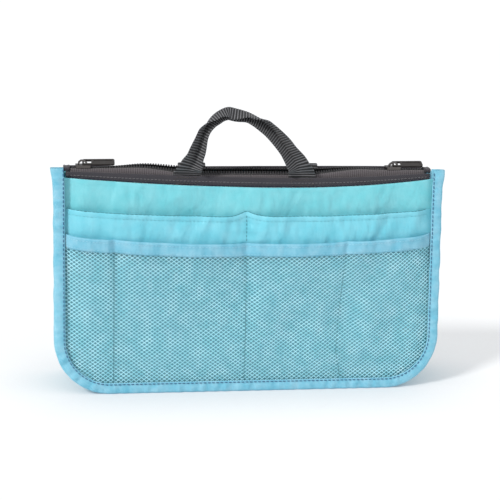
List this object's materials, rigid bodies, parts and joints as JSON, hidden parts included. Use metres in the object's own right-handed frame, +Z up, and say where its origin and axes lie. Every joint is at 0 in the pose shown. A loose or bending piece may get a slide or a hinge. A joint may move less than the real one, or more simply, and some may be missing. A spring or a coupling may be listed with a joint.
{
  "type": "purse organizer insert",
  "caption": "Soft handbag insert: bound nylon pouch with mesh and slip pockets outside, a two-way zipped mouth and folded webbing handles.",
  "frame": {"origin": "middle of the footprint, on the surface the pouch stands on", "axes": "+X along the pouch's width, to the right as seen from the front; -Y the front with the mesh pockets; +Z up"},
  "size_m": [0.284, 0.0594, 0.2068],
  "materials": {
    "nylon": "soft satin",
    "lining": "matt",
    "net": "matt",
    "binding": "satin",
    "tape": "matt",
    "teeth": "semi-gloss",
    "metal": "polished dark nickel",
    "webbing": "matt"
  },
  "bodies": {
    "pouch": {"front_panel": "nylon", "back_panel": "nylon", "bottom_gusset": "lining", "left_side_gusset": "lining", "right_side_gusset": "lining", "front_binding": "binding", "back_binding": "binding", "front_slip_pocket": "nylon", "mesh_pocket": "net", "mesh_pocket_band": "binding", "back_slip_pocket": "nylon", "inner_back_pocket": "lining", "front_mouth_facing": "tape", "back_mouth_facing": "tape", "left_zip_end_tab": "tape", "right_zip_end_tab": "tape"},
    "front_zip_row": {"front_zip_tape": "tape", "front_zip_teeth": "teeth"},
    "back_zip_row": {"back_zip_tape": "tape", "back_zip_teeth": "teeth"},
    "left_slider": {"left_zip_slider": "metal"},
    "left_pull": {"left_zip_pull": "metal"},
    "right_slider": {"right_zip_slider": "metal"},
    "right_pull": {"right_zip_pull": "metal"},
    "front_carry_handle": {"front_handle": "webbing"},
    "back_carry_handle": {"back_handle": "webbing"}
  },
  "joints": [
    {"name": "right_slider_slide", "type": "slide", "parent": "pouch", "child": "right_slider", "axis": [-1, 0, 0], "range_m": [0, 0.176]},
    {"name": "left_slider_slide", "type": "slide", "parent": "pouch", "child": "left_slider", "axis": [1, 0, 0], "range_m": [0, 0.008]},
    {"name": "right_pull_hinge", "type": "hinge", "parent": "right_slider", "child": "right_pull", "pos_m": [0.107, 0, 0.16449], "axis": [0, -1, 0], "range_deg": [0, 164]},
    {"name": "left_pull_hinge", "type": "hinge", "parent": "left_slider", "child": "left_pull", "pos_m": [-0.121, 0, 0.16449], "axis": [0, -1, 0], "range_deg": [0, 164]},
    {"name": "front_handle_hinge", "type": "hinge", "parent": "pouch", "child": "front_carry_handle", "pos_m": [0, -0.0114, 0.1588], "axis": [1, 0, 0], "range_deg": [-25, 60]},
    {"name": "back_handle_hinge", "type": "hinge", "parent": "pouch", "child": "back_carry_handle", "pos_m": [0, 0.0138, 0.1603], "axis": [1, 0, 0], "range_deg": [0, 150]},
    {"name": "front_zip_fold", "type": "hinge", "parent": "pouch", "child": "front_zip_row", "pos_m": [0, -0.0096, 0.1476], "axis": [1, 0, 0], "range_deg": [-33, 0], "deforming": ["front_zip_tape", "front_zip_teeth"]},
    {"name": "back_zip_fold", "type": "hinge", "parent": "pouch", "child": "back_zip_row", "pos_m": [0, 0.0095, 0.1505], "axis": [1, 0, 0], "range_deg": [0, 40], "deforming": ["back_zip_tape", "back_zip_teeth"]}
  ],
  "couplings": [
    {"joint": "front_zip_fold", "follows": "right_slider_slide", "rad_per_m": -3.27},
    {"joint": "back_zip_fold", "follows": "right_slider_slide", "rad_per_m": 3.96}
  ]
}
